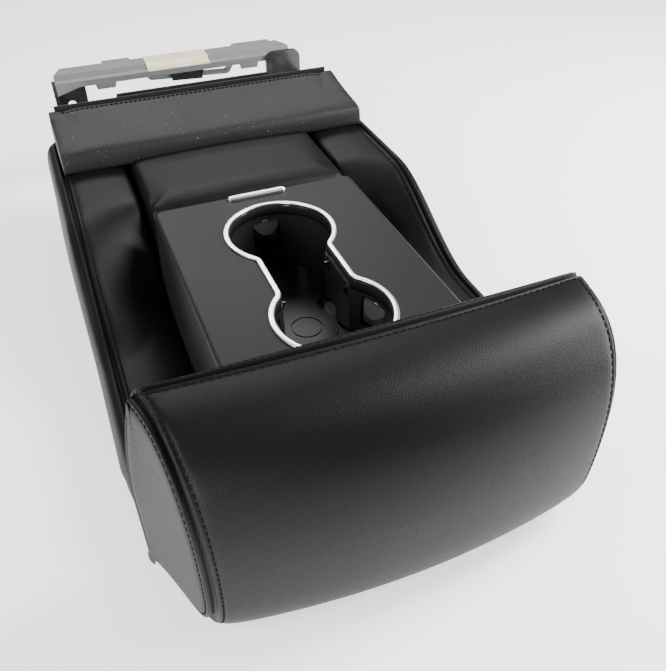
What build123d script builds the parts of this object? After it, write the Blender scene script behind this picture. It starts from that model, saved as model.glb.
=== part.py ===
"""Rear seat armrest: a padded body with a double cup holder, on a folding hinge bracket.

Millimetres. X runs across, +Y to the hinge at the rear, +Z up. The origin is on the floor, under the middle of
the part's box. A station is a distance rearwards from the bolster's front, and a height is above the floor.
"""

import os
from math import cos, radians, sin, sqrt

from build123d import *

os.makedirs("parts", exist_ok=True)

# Clearances
GAP = 0.3  # between pieces that lie against each other
RUN = 0.05  # radial, of a pin in its bore

# Padded body
BODY_W = 314.0
BODY_L = 429.7
PAD_H = 34.0
PAD_EDGE = 24.0
BODY_CORNER = 20.0
FRONT_NARROW = 8.0
FRONT_NARROW_L = 45.0

# Front bolster
BOLSTER_H = 159.0
BOLSTER_L = 90.0
BOLSTER_CROWN = 20.0
BOLSTER_FRONT_W = 252.0
BOLSTER_REAR_W = 312.0
BOLSTER_TOP_W = 278.0
BOLSTER_CREST = 62.0  # station of its highest line
BOLSTER_BELLY = 70.0  # height of its foremost line
BOLSTER_TOE = 50.0  # station where its face reaches the floor
BOLSTER_HEEL_DROP = 2.0
BOLSTER_SHOULDER = 95.0  # height where the ends start to lean in
BOLSTER_FOOT_R = 45.0

# Side wings
WING_LOW = 60.0
WING_HIGH = 109.0
WING_VALLEY = 46.0  # height along the box, where the top slopes in
WING_STEP = 288.0  # station of the middle of the step
WING_STEP_L = 140.0
VALLEY_STEP = 326.0
VALLEY_STEP_L = 90.0
WING_SHOULDER = 12.0

# Cup holder box
BOX_W = 172.0
BOX_FLARE = 4.0
BOX_CORNER = 7.0
BOX_EDGE = 3.5
BOX_WALL = 2.2
PLATE_H = 118.0
PLATE_T = 3.0

# Cups
CUP_R = 40.0
CUP_PITCH = 110.0
CUP_DEPTH = 55.0
CUP_FLOOR_R = 36.0
NECK = 26.0  # half width of the passage between the cups
NECK_FLOOR = 25.0
NECK_ROUND = 12.0
CUP_FRONT_MARGIN = 16.9  # from the box's front edge to the front cup
CUP_REAR_MARGIN = 26.5  # from the rear cup to the box's rear edge
LIP_D = 9.0
LIP_T = 2.0
TRIM_W = 4.0
TRIM_H = 1.8
TRIM_EDGE = 0.7
BIN_WALL = 2.2
BIN_INSET = 0.6
FLANGE_T = 2.0
FLANGE_RIM = 13.5  # beyond the cups, front and rear
FLANGE_RIM_X = 19.0  # beyond the cups, at the sides
FLANGE_CORNER = 10.0
MAT_T = 2.0
MAT_LOBE_R = 33.5
MAT_MID_R = 24.4
MAT_RING_R = 12.5
MAT_RING_W = 1.2
MAT_RING_D = 0.8
RIB_T = 1.6
RIB_REACH = 3.5
RIB_H = 14.0
RIB_SPACING = 35.0

# Screws that hold the bin under the plate
SCREW_R = 1.9
SCREW_HEAD_R = 3.6
SCREW_HEAD_H = 2.4
SCREW_L = 7.0
BOSS_R = 4.0
SCREW_INSET = 6.5

# Sprung grips in the cup walls
GRIP_W = 22.0
GRIP_H = 21.0
GRIP_REACH = 5.0  # into the cup
GRIP_HUB_R = 2.4
GRIP_OUT = 3.0  # pivot outside the cup wall
GRIP_DROP = 3.6  # pivot below the bin's flange
GRIP_BELLY = 9.5  # belly below the pivot
GRIP_BACK = 0.8
GRIP_ROUND = 1.6
GRIP_PLAN_R = 15.7
GRIP_SIDE = 0.5
GRIP_PIN_R = 1.2
GRIP_EAR_T = 2.5
GRIP_EAR_REACH = 7.0
GRIP_EAR_H = 9.0
GRIP_NOTCH = 5.0
SPRING_WIRE = 0.8
REAR_CUP_ANGLES = (90.0, -20.0, 200.0)
FRONT_CUP_ANGLES = (270.0, 20.0, 160.0)

# Release button
BUTTON_L = 50.0
BUTTON_W = 5.5
BUTTON_RISE = 3.0
BUTTON_BEVEL = 1.2
BUTTON_SETBACK = 6.75  # from the box's rear edge
BUTTON_TRAVEL = 2.5
BUTTON_FOOT_L = 56.0
BUTTON_FOOT_T = 2.0
COIL_PRESSED = 4.2  # length left for the spring when the button is down
GUIDE_WALL = 1.0
GUIDE_L = 60.0
COIL_R = 2.2
COIL_WIRE = 0.7

# Rear pad, flap and edge strip
REAR_PAD_W = 174.0
REAR_PAD_H = 116.0
REAR_PAD_GAP = 2.0
REAR_PAD_BEVEL = 12.0
REAR_PAD_EDGE = 6.0
FLAP_W = 290.0
FLAP_L = 84.0
FLAP_FRONT_H = 127.5
FLAP_REAR_H = 138.3
FLAP_NOSE = 4.0
STRIP_W = 278.0
STRIP_T = 3.6
STRIP_H = 12.0
STRIP_RISE = 2.3
STRIP_HOOK = 2.0

# Steel frame inside the body
PAN_T = 2.0
PAN_W = 290.0
PAN_FRONT_W = 160.0
PAN_FRONT_H = 100.0
PAN_REAR_W = 260.0
PAN_REAR_H = 112.0
PAN_CREST_FOOT = 178.0
PAN_CREST_TOP = 156.0
PAN_CREST_H = 141.5

# Hinge
PIVOT_BACK = 17.7  # behind the frame's rear wall
PIVOT_H = 98.0
BOLT_R = 5.0
BOLT_HEAD_R = 9.5
BOLT_HEAD_T = 5.5
BUSH_R = 7.5
LUG_X = 122.0
LUG_T = 4.0
LUG_R = 14.0
LUG_FOOT_LOW = 50.0
LUG_FOOT_T = 5.0
STOP_R = 3.0
STOP_BACK = 20.0
STOP_BOSS_R = 7.0
WASHER_R = 12.0
NUT_R = 9.0
NUT_T = 8.0
BOLT_TIP = 2.0

# Hinge bracket
ARM_T = 3.5
ARM_LEFT_X = 131.0  # inner faces of the arms
ARM_RIGHT_X = 136.5
ARM_H = 20.0
ARM_EYE_R = 13.0
EAR_INNER_X = 99.0
EAR_ROUND = 9.0
FOOT_W = 30.0
FOOT_H = 36.0
SEAT_HOLE_R = 4.5
SEAT_HOLE_SPACING = 236.0
SEAT_HOLE_H = 102.0
BEAM_BACK = 58.0  # front of the beam behind the pivot
BEAM_D = 41.0
BEAM_W = 262.0
BEAM_T = 2.5
BEAM_H = 135.0
BEAM_STEP = 4.0
LEDGE_D = 8.0
SLOPE_D = 6.0
NOTCH_D = 7.0
LOBES = ((-77.0, -47.0), (71.0, 115.0))
BEAM_CORNER = 11.0
BEAM_CORNER_L = 27.0
LIP_DROP = 3.5
TAB_DROP = 9.0
TAB_W = 22.0
TAB_X = 80.0
END_DROP = 7.0
END_W = 24.0
STRAP_T = 2.0
STRAP_D = 12.0
STRAP_SETBACK = 5.0
STRAP_BEND = 5.0
STRAP_LEFT = -41.5
STRAP_RIGHT = 66.0
STRAP_LOW_LEFT = 8.0  # drop below the beam at each end of the strap's floor
STRAP_LOW_RIGHT = 12.5
STRAP_LEAN = 10.0
CLIP_L = 34.0
CLIP_T = 2.0
CLIP_X = 9.0
CLIP_TOOTH = 3.0
TAPE_LEFT = -33.0
TAPE_RIGHT = 36.0
TAPE_T = 1.0

# Stations and heights that follow
pan_front = BOLSTER_L + GAP
box_front = pan_front + PAN_T + GAP
box_l = CUP_FRONT_MARGIN + 2 * CUP_R + CUP_PITCH + CUP_REAR_MARGIN
box_rear = box_front + box_l
pad_front = box_rear + REAR_PAD_GAP
body_rear = pan_front + BODY_L
pan_rear = body_rear + GAP
lug_front = pan_rear + PAN_T
pivot_station = lug_front + PIVOT_BACK
beam_front = pivot_station + BEAM_BACK
beam_rear = beam_front + BEAM_D
LENGTH = beam_rear
strip_front = body_rear - GAP - STRIP_T - STRIP_HOOK
flap_rear = strip_front - GAP
flap_front = flap_rear - FLAP_L
cup_rear = box_rear - CUP_REAR_MARGIN - CUP_R
cup_front = cup_rear - CUP_PITCH
cup_middle = (cup_rear + cup_front) / 2
button_station = box_rear - BUTTON_SETBACK
foot_rear = beam_front + LEDGE_D + SLOPE_D + ARM_T

pan_top = PAD_H + PAN_T
seat_h = pan_top + GAP
plate_under = PLATE_H - PLATE_T
bin_top = PLATE_H - LIP_D
flange_under = bin_top - FLANGE_T
mat_top = PLATE_H - CUP_DEPTH
bin_floor = mat_top - MAT_T
grip_pivot_h = flange_under - GRIP_DROP
wall_r = CUP_R - BIN_INSET
grip_pivot_r = wall_r + GRIP_OUT
foot_top = plate_under - GAP
foot_under = foot_top - BUTTON_FOOT_T
guide_floor = foot_under - BUTTON_TRAVEL - COIL_PRESSED
wing_inner = BOX_W / 2 + BOX_FLARE + GAP
arm_under = PIVOT_H - ARM_H / 2
ledge_h = BEAM_H - BEAM_STEP
ledge_under = ledge_h - BEAM_T
flange_l = CUP_PITCH + 2 * (CUP_R + FLANGE_RIM)
flange_w = 2 * (CUP_R + FLANGE_RIM_X)
screw_span_x = flange_w - 2 * SCREW_INSET
screw_span_y = flange_l - 2 * SCREW_INSET
arm_x = {"left": ARM_LEFT_X, "right": ARM_RIGHT_X}
side_sign = {"left": -1, "right": 1}


def at(station):
    """Y of a station."""
    return station - LENGTH / 2


def side_plane(x):
    """Side view plane at x, with stations as its first axis and heights as its second."""
    return Plane(origin=(x, -LENGTH / 2, 0), x_dir=(0, 1, 0), z_dir=(1, 0, 0))


def front_plane(station):
    """Front view plane at a station: X, then height. Its normal points to the front."""
    return Plane(origin=(0, at(station), 0), x_dir=(1, 0, 0), z_dir=(0, -1, 0))


def floor_plane(height):
    """Plan plane at a height: X, then station."""
    return Plane(origin=(0, -LENGTH / 2, height), x_dir=(1, 0, 0), z_dir=(0, 0, 1))


def finish(builder, name):
    """Label a finished piece and write it."""
    builder.part.label = name
    export_step(builder.part, f"parts/{name}.step")


def body_plan():
    """Plan of the padded body behind the bolster: it narrows at the front and has round rear corners."""
    half = BODY_W / 2
    narrow = half - FRONT_NARROW
    shoulder = pan_front + FRONT_NARROW_L
    outline = Polygon(
        (-narrow, pan_front), (narrow, pan_front), (half, shoulder), (half, body_rear),
        (-half, body_rear), (-half, shoulder), align=None,
    )
    fillet(outline.vertices().group_by(Axis.Y)[-1], BODY_CORNER)


def hourglass(radius, neck, corner):
    """Two cups joined by a straight neck, with the inner corners rounded."""
    with Locations((0, cup_front), (0, cup_rear)):
        Circle(radius)
    with Locations((0, cup_middle)):
        Rectangle(2 * neck, CUP_PITCH)
    context = BuildSketch._get_context()
    corners = [v for v in context.vertices() if abs(abs(v.X) - neck) < 0.01]
    fillet(corners, corner)


def cup_outline(offset):
    """The cup opening, grown by offset."""
    hourglass(CUP_R + offset, NECK + offset, NECK_ROUND - offset)


# Front bolster: side outline lofted across, crowned at the middle, with leaning ends
with BuildPart() as bolster:
    for x, setback in ((-BODY_W / 2, BOLSTER_CROWN), (0, 0), (BODY_W / 2, BOLSTER_CROWN)):
        heel = BOLSTER_H - BOLSTER_HEEL_DROP
        belly = (setback, BOLSTER_BELLY)
        toe = (BOLSTER_TOE + setback, 0)
        crest = (BOLSTER_CREST + setback / 2, BOLSTER_H)
        with BuildSketch(side_plane(x)):
            with BuildLine():
                Line((BOLSTER_L, 0), toe)
                Bezier(toe, (setback + BOLSTER_TOE * 0.16, 0), (setback, BOLSTER_BELLY * 0.43), belly)
                Bezier(belly, (setback, BOLSTER_H * 0.79), (setback + BOLSTER_CREST * 0.2, BOLSTER_H), crest)
                Line(crest, (BOLSTER_L, heel))
                Line((BOLSTER_L, heel), (BOLSTER_L, 0))
            make_face()
    loft()
    with BuildSketch(floor_plane(0)):
        with BuildLine():
            Polyline(
                (-BOLSTER_FRONT_W / 2, 0), (BOLSTER_FRONT_W / 2, 0),
                (BOLSTER_REAR_W / 2, BOLSTER_L), (-BOLSTER_REAR_W / 2, BOLSTER_L), close=True,
            )
        make_face()
    extrude(amount=2 * BOLSTER_H, mode=Mode.INTERSECT)
    with BuildSketch(front_plane(0)):
        with BuildLine():
            Polyline(
                (-BOLSTER_REAR_W / 2, 0), (BOLSTER_REAR_W / 2, 0), (BOLSTER_REAR_W / 2, BOLSTER_SHOULDER),
                (BOLSTER_TOP_W - BOLSTER_REAR_W / 2, 2 * BOLSTER_H - BOLSTER_SHOULDER),
                (BOLSTER_REAR_W / 2 - BOLSTER_TOP_W, 2 * BOLSTER_H - BOLSTER_SHOULDER),
                (-BOLSTER_REAR_W / 2, BOLSTER_SHOULDER), close=True,
            )
        end_view = make_face()
        fillet(end_view.vertices().group_by(Axis.Y)[0], BOLSTER_FOOT_R)
    extrude(amount=-2 * BOLSTER_L, mode=Mode.INTERSECT)
finish(bolster, "bolster")

# Padded underside: the face that shows when the armrest is folded up
with BuildPart() as underside_pad:
    with BuildSketch(floor_plane(0)):
        body_plan()
    extrude(amount=PAD_H - GAP)
    fillet(underside_pad.faces().sort_by(Axis.Z)[0].edges(), PAD_EDGE)
finish(underside_pad, "underside_pad")

# Side wings: the outer seam steps down towards the front, and the top slopes in to a valley along the box
def step_height(station, low, high, middle, length):
    """Height of a smooth step: low before it, high after it."""
    part = min(max((station - middle) / length + 0.5, 0), 1)
    return low + (high - low) * part * part * (3 - 2 * part)


def side_x(station):
    """Half width of the padded body at a station: narrow at the front, round at the rear corners."""
    narrow = FRONT_NARROW * max(1 - (station - pan_front) / FRONT_NARROW_L, 0)
    into_corner = max(station - body_rear + BODY_CORNER, 0)
    return BODY_W / 2 - narrow - BODY_CORNER + sqrt(BODY_CORNER**2 - into_corner**2)


wing_start = WING_STEP - WING_STEP_L / 2
wing_end = VALLEY_STEP + VALLEY_STEP_L / 2
wing_stations = [pan_front, pan_front + FRONT_NARROW_L]
wing_stations += [wing_start + (wing_end - wing_start) * part / 8 for part in range(9)]
wing_stations += [body_rear - BODY_CORNER * (1 - sin(radians(angle))) for angle in (0, 30, 60, 90)]
for side, sign in side_sign.items():
    with BuildPart() as wing:
        for station in wing_stations:
            seam = step_height(station, WING_LOW, WING_HIGH, WING_STEP, WING_STEP_L)
            valley = step_height(station, WING_VALLEY, WING_HIGH, VALLEY_STEP, VALLEY_STEP_L)
            outer = sign * side_x(station)
            round_in = sign * WING_SHOULDER
            with BuildSketch(front_plane(station)):
                with BuildLine():
                    Polyline(
                        (sign * wing_inner, seat_h), (outer, seat_h), (outer, seam - WING_SHOULDER),
                        (outer - round_in * 0.3, seam - WING_SHOULDER * 0.3), (outer - round_in, seam),
                        (sign * wing_inner, valley), close=True,
                    )
                make_face()
        loft(ruled=True)
    finish(wing, f"wing_{side}")

# Padded block behind the cup plate, lower under the flap
with BuildPart() as rear_pad:
    with BuildSketch(side_plane(-REAR_PAD_W / 2)):
        with BuildLine():
            Polyline(
                (pad_front, seat_h), (pad_front, REAR_PAD_H - REAR_PAD_BEVEL),
                (pad_front + REAR_PAD_BEVEL, REAR_PAD_H), (flap_front - GAP, REAR_PAD_H),
                (flap_front - GAP, WING_HIGH), (body_rear, WING_HIGH), (body_rear, seat_h), close=True,
            )
        make_face()
    extrude(amount=REAR_PAD_W)
    crown = rear_pad.faces().filter_by(Axis.Z).sort_by(Axis.Z)[-1]
    fillet(crown.edges().filter_by(Axis.Y), REAR_PAD_EDGE)
finish(rear_pad, "rear_pad")

# Vinyl flap that closes the gap to the seat back
flap_seat = WING_HIGH + GAP
with BuildPart() as closeout_flap:
    with BuildSketch(side_plane(-FLAP_W / 2)):
        with BuildLine():
            Polyline(
                (flap_front, flap_seat), (flap_front, FLAP_FRONT_H - FLAP_NOSE),
                (flap_front + FLAP_NOSE, FLAP_FRONT_H), (flap_rear, FLAP_REAR_H), (flap_rear, flap_seat), close=True,
            )
        make_face()
    extrude(amount=FLAP_W)
    fillet(closeout_flap.edges().filter_by(Axis.X).group_by(Axis.Y)[1], FLAP_NOSE / 2)
finish(closeout_flap, "closeout_flap")

# Plastic strip on the flap's rear edge, with a hook along its foot
strip_top = FLAP_REAR_H + STRIP_RISE
with BuildPart() as flap_strip:
    with BuildSketch(side_plane(-STRIP_W / 2)):
        with BuildLine():
            Polyline(
                (strip_front, strip_top), (strip_front + STRIP_T / 2, strip_top),
                (strip_front + STRIP_T / 2, strip_top - STRIP_H + STRIP_HOOK),
                (strip_front + STRIP_T / 2 + STRIP_HOOK, strip_top - STRIP_H + STRIP_HOOK),
                (strip_front + STRIP_T / 2 + STRIP_HOOK, strip_top - STRIP_H),
                (strip_front, strip_top - STRIP_H), close=True,
            )
        make_face()
    extrude(amount=STRIP_W)
finish(flap_strip, "flap_strip")

# Pressed steel tray: floor, front wall behind the bolster, rear wall with a raised middle
with BuildPart() as frame_pan:
    with BuildSketch(floor_plane(PAD_H)):
        with Locations((0, (pan_front + lug_front) / 2)):
            Rectangle(PAN_W, lug_front - pan_front)
    extrude(amount=PAN_T)
    with BuildSketch(front_plane(pan_front + PAN_T)):
        with Locations((0, (PAD_H + PAN_FRONT_H) / 2)):
            Rectangle(PAN_FRONT_W, PAN_FRONT_H - PAD_H)
    extrude(amount=PAN_T)
    with BuildSketch(front_plane(lug_front)):
        with BuildLine():
            Polyline(
                (-PAN_REAR_W / 2, PAD_H), (PAN_REAR_W / 2, PAD_H), (PAN_REAR_W / 2, PAN_REAR_H),
                (PAN_CREST_FOOT / 2, PAN_REAR_H), (PAN_CREST_TOP / 2, PAN_CREST_H),
                (-PAN_CREST_TOP / 2, PAN_CREST_H), (-PAN_CREST_FOOT / 2, PAN_REAR_H),
                (-PAN_REAR_W / 2, PAN_REAR_H), close=True,
            )
        make_face()
    extrude(amount=PAN_T)
finish(frame_pan, "frame_pan")

# Cup holder box: flared walls, cup plate on top, lip round the opening, bosses for the bin
with BuildPart() as cup_bezel:
    box_middle = (box_front + box_rear) / 2
    for height, flare in ((seat_h, BOX_FLARE), (PLATE_H, 0)):
        with BuildSketch(floor_plane(height)):
            with Locations((0, box_middle)):
                RectangleRounded(BOX_W + 2 * flare, box_l, BOX_CORNER)
    loft(ruled=True)
    fillet(cup_bezel.faces().sort_by(Axis.Z)[-1].edges(), BOX_EDGE)
    for height, flare in ((seat_h, BOX_FLARE), (plate_under, 0)):
        with BuildSketch(floor_plane(height)):
            with Locations((0, box_middle)):
                RectangleRounded(BOX_W + 2 * (flare - BOX_WALL), box_l - 2 * BOX_WALL, BOX_CORNER - BOX_WALL)
    loft(ruled=True, mode=Mode.SUBTRACT)
    with BuildSketch(floor_plane(bin_top)):
        cup_outline(LIP_T)
    extrude(amount=PLATE_H - bin_top)
    with BuildSketch(floor_plane(bin_top)):
        with Locations((0, cup_middle)):
            with GridLocations(screw_span_x, screw_span_y, 2, 2):
                Circle(BOSS_R)
                Circle(SCREW_R, mode=Mode.SUBTRACT)
    extrude(amount=plate_under - bin_top)
    with BuildSketch(floor_plane(bin_top)):
        cup_outline(0)
    extrude(amount=PLATE_H - bin_top, mode=Mode.SUBTRACT)
    with BuildSketch(floor_plane(plate_under)):
        with Locations((0, button_station)):
            SlotOverall(BUTTON_L + 2 * GAP, BUTTON_W + 2 * GAP)
    extrude(amount=PLATE_T, mode=Mode.SUBTRACT)
finish(cup_bezel, "cup_bezel")

# Bright ring on the plate, round the opening
with BuildPart() as cup_trim_ring:
    with BuildSketch(floor_plane(PLATE_H)):
        cup_outline(TRIM_W)
    extrude(amount=TRIM_H)
    fillet(cup_trim_ring.faces().sort_by(Axis.Z)[-1].edges(), TRIM_EDGE)
    with BuildSketch(floor_plane(PLATE_H)):
        cup_outline(0)
    extrude(amount=TRIM_H, mode=Mode.SUBTRACT)
finish(cup_trim_ring, "cup_trim_ring")


def grip_plane(station, angle):
    """Plane through a cup's axis: outwards from the axis at an angle, then height. Its normal is the hinge axis."""
    out = (cos(radians(angle)), sin(radians(angle)), 0)
    hinge = (sin(radians(angle)), -cos(radians(angle)), 0)
    return Plane(origin=(0, at(station), 0), x_dir=out, z_dir=hinge)


grip_planes = [grip_plane(cup_rear, angle) for angle in REAR_CUP_ANGLES]
grip_planes += [grip_plane(cup_front, angle) for angle in FRONT_CUP_ANGLES]
window_half = GRIP_W / 2 + GRIP_SIDE
window_low = grip_pivot_h - GRIP_H - GRIP_ROUND
pivot_point = (grip_pivot_r, grip_pivot_h)

# Hourglass bin: tapered walls, flange under the plate, windows and ears for the grips, ribs at the neck
with BuildPart() as cup_bin:
    for height, radius, neck in (
        (bin_floor - BIN_WALL, CUP_FLOOR_R + BIN_WALL, NECK_FLOOR + BIN_WALL),
        (bin_top, wall_r + BIN_WALL, NECK - BIN_INSET + BIN_WALL),
    ):
        with BuildSketch(floor_plane(height)):
            hourglass(radius, neck, NECK_ROUND - BIN_WALL)
    loft(ruled=True)
    with BuildSketch(floor_plane(flange_under)):
        with Locations((0, cup_middle)):
            RectangleRounded(flange_w, flange_l, FLANGE_CORNER)
            with GridLocations(screw_span_x, screw_span_y, 2, 2):
                Circle(SCREW_R + GAP, mode=Mode.SUBTRACT)
    extrude(amount=FLANGE_T)
    for height, radius, neck in ((bin_floor, CUP_FLOOR_R, NECK_FLOOR), (bin_top, wall_r, NECK - BIN_INSET)):
        with BuildSketch(floor_plane(height)):
            hourglass(radius, neck, NECK_ROUND)
    loft(ruled=True, mode=Mode.SUBTRACT)
    for plane in grip_planes:
        with BuildSketch(plane.offset(-window_half)):
            with Locations((wall_r, (grip_pivot_h + GRIP_HUB_R + window_low) / 2)):
                Rectangle(4 * GRIP_REACH, grip_pivot_h + GRIP_HUB_R - window_low + GAP)
        extrude(amount=2 * window_half, mode=Mode.SUBTRACT)
        for start in (-window_half - GRIP_EAR_T, window_half):
            with BuildSketch(plane.offset(start)):
                with Locations((wall_r + GRIP_EAR_REACH / 2, flange_under - GRIP_EAR_H / 2)):
                    Rectangle(GRIP_EAR_REACH + BIN_WALL, GRIP_EAR_H)
                with Locations(pivot_point):
                    Circle(GRIP_PIN_R + RUN, mode=Mode.SUBTRACT)
            extrude(amount=GRIP_EAR_T)
    for station in (cup_middle - RIB_SPACING / 2, cup_middle + RIB_SPACING / 2):
        for sign in side_sign.values():
            root = sign * (NECK - BIN_INSET + BIN_WALL / 2)
            tip = sign * (NECK - BIN_INSET - RIB_REACH)
            with BuildSketch(front_plane(station + RIB_T / 2)):
                with BuildLine():
                    Polyline((root, flange_under), (tip, flange_under), (root, flange_under - RIB_H), close=True)
                make_face()
            extrude(amount=RIB_T)
finish(cup_bin, "cup_bin")

# Rubber mat: a lobe in each cup and a round middle with a ring groove
with BuildPart() as cup_mat:
    with BuildSketch(floor_plane(bin_floor)):
        with Locations((0, cup_front), (0, cup_rear)):
            Circle(MAT_LOBE_R)
        with Locations((0, cup_middle)):
            Circle(MAT_MID_R)
            Rectangle(MAT_MID_R * 1.5, CUP_PITCH)
    extrude(amount=MAT_T)
    with BuildSketch(floor_plane(mat_top)):
        with Locations((0, cup_middle)):
            Circle(MAT_RING_R)
            Circle(MAT_RING_R - MAT_RING_W, mode=Mode.SUBTRACT)
    extrude(amount=-MAT_RING_D, mode=Mode.SUBTRACT)
finish(cup_mat, "cup_mat")

# Sprung grips: rounded lobes that hang from pins behind the cup wall
for number, plane in enumerate(grip_planes, start=1):
    with BuildPart() as grip:
        with BuildSketch(plane.offset(-GRIP_W / 2)):
            with BuildLine():
                Polyline(
                    (grip_pivot_r - GRIP_HUB_R, grip_pivot_h), (wall_r - GRIP_REACH, grip_pivot_h - GRIP_BELLY),
                    (wall_r, grip_pivot_h - GRIP_H), (grip_pivot_r + GRIP_BACK, grip_pivot_h - GRIP_H),
                    (grip_pivot_r + GRIP_HUB_R, grip_pivot_h), close=True,
                )
            lobe = make_face()
            fillet(lobe.vertices().sort_by(Axis.Y)[:3], GRIP_ROUND)
            with Locations(pivot_point):
                Circle(GRIP_HUB_R)
                Circle(GRIP_PIN_R + RUN, mode=Mode.SUBTRACT)
        extrude(amount=GRIP_W)
        plan = Plane(origin=plane.origin, x_dir=plane.x_dir, z_dir=(0, 0, 1))
        with BuildSketch(plan):
            with Locations((wall_r - GRIP_REACH + GRIP_PLAN_R, 0)):
                Circle(GRIP_PLAN_R)
        extrude(amount=PLATE_H, mode=Mode.INTERSECT)
        with BuildSketch(plane.offset(-GRIP_NOTCH / 2)):
            with Locations(pivot_point):
                Circle(GRIP_HUB_R + GAP)
        extrude(amount=GRIP_NOTCH, mode=Mode.SUBTRACT)
    finish(grip, f"cup_grip_{number}")

# Pins that carry the grips in the bin's ears
with BuildPart() as grip_pins:
    for plane in grip_planes:
        with BuildSketch(plane.offset(-window_half - GRIP_EAR_T)):
            with Locations(pivot_point):
                Circle(GRIP_PIN_R)
        extrude(amount=2 * (window_half + GRIP_EAR_T))
finish(grip_pins, "grip_pins")

# Closely wound torsion springs on those pins, in the notch of each grip
with BuildPart() as grip_springs:
    for plane in grip_planes:
        with BuildSketch(plane.offset(-GRIP_NOTCH / 2 + GAP)):
            with Locations(pivot_point):
                Circle(GRIP_PIN_R + RUN + SPRING_WIRE)
                Circle(GRIP_PIN_R + RUN, mode=Mode.SUBTRACT)
        extrude(amount=GRIP_NOTCH - 2 * GAP)
finish(grip_springs, "grip_springs")

# Screws from below, through the bin's flange into the bosses
with BuildPart() as bin_screws:
    with BuildSketch(floor_plane(flange_under)):
        with Locations((0, cup_middle)):
            with GridLocations(screw_span_x, screw_span_y, 2, 2):
                Circle(SCREW_HEAD_R)
    extrude(amount=-SCREW_HEAD_H)
    with BuildSketch(floor_plane(flange_under)):
        with Locations((0, cup_middle)):
            with GridLocations(screw_span_x, screw_span_y, 2, 2):
                Circle(SCREW_R - RUN)
    extrude(amount=SCREW_L)
finish(bin_screws, "bin_screws")

# Bright bar behind the cups: a push button with a foot that keeps it under the plate
with BuildPart() as release_button:
    with BuildSketch(floor_plane(foot_under)):
        with Locations((0, button_station)):
            SlotOverall(BUTTON_FOOT_L, BUTTON_W)
    extrude(amount=BUTTON_FOOT_T)
    with BuildSketch(floor_plane(foot_top)):
        with Locations((0, button_station)):
            SlotOverall(BUTTON_L, BUTTON_W)
    extrude(amount=PLATE_H + BUTTON_RISE - foot_top)
    chamfer(release_button.faces().sort_by(Axis.Z)[-1].edges(), BUTTON_BEVEL)
finish(release_button, "release_button")

# Channel under the plate that guides the button and carries its spring
guide_w = BUTTON_W + 2 * GAP
with BuildPart() as button_guide:
    with BuildSketch(floor_plane(guide_floor - GUIDE_WALL)):
        with Locations((0, button_station)):
            Rectangle(GUIDE_L, guide_w + 2 * GUIDE_WALL)
    extrude(amount=plate_under - guide_floor + GUIDE_WALL)
    with BuildSketch(floor_plane(guide_floor)):
        with Locations((0, button_station)):
            Rectangle(BUTTON_FOOT_L + 2 * GAP, guide_w)
    extrude(amount=plate_under - guide_floor, mode=Mode.SUBTRACT)
finish(button_guide, "button_guide")

# Closely wound return spring of the button
with BuildPart() as button_spring:
    with BuildSketch(floor_plane(guide_floor)):
        with Locations((0, button_station)):
            Circle(COIL_R)
            Circle(COIL_R - COIL_WIRE, mode=Mode.SUBTRACT)
    extrude(amount=foot_under - guide_floor)
finish(button_spring, "button_spring")

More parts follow.
